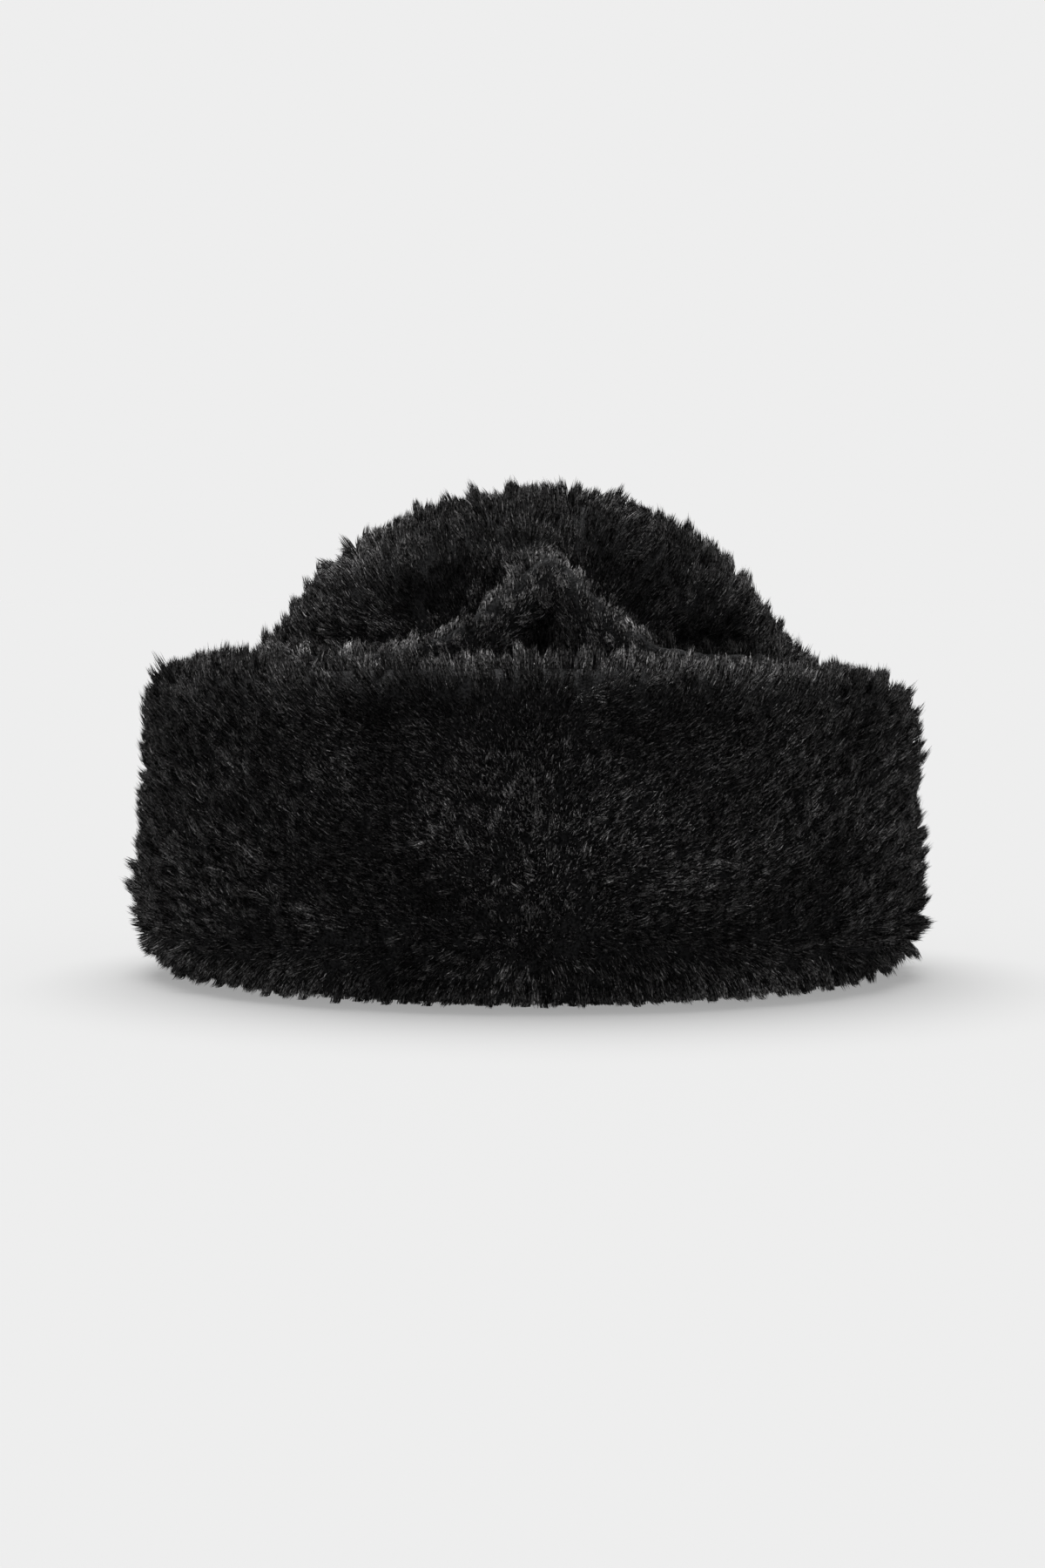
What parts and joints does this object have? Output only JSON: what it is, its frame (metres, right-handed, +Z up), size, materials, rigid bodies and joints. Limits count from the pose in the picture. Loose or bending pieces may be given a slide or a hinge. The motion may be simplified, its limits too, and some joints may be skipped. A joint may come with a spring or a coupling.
{
  "type": "faux fur beanie",
  "caption": "Deep-pile faux fur beanie with a domed crown sewn along its middle, a folded front and a tall padded turned-up cuff, open below for a head.",
  "frame": {"origin": "on the floor under the middle of the beanie", "axes": "+Z up, the front towards -Y, +X to the wearer's left"},
  "size_m": [0.291, 0.2547, 0.1815],
  "materials": {
    "crown_left": "black faux fur, soft sheen",
    "crown_right": "black faux fur, soft sheen",
    "cuff_left": "black faux fur, soft sheen",
    "cuff_right": "black faux fur, soft sheen"
  },
  "bodies": {
    "root": {"crown_left": "crown_left", "crown_right": "crown_right", "cuff_left": "cuff_left", "cuff_right": "cuff_right"}
  },
  "joints": []
}
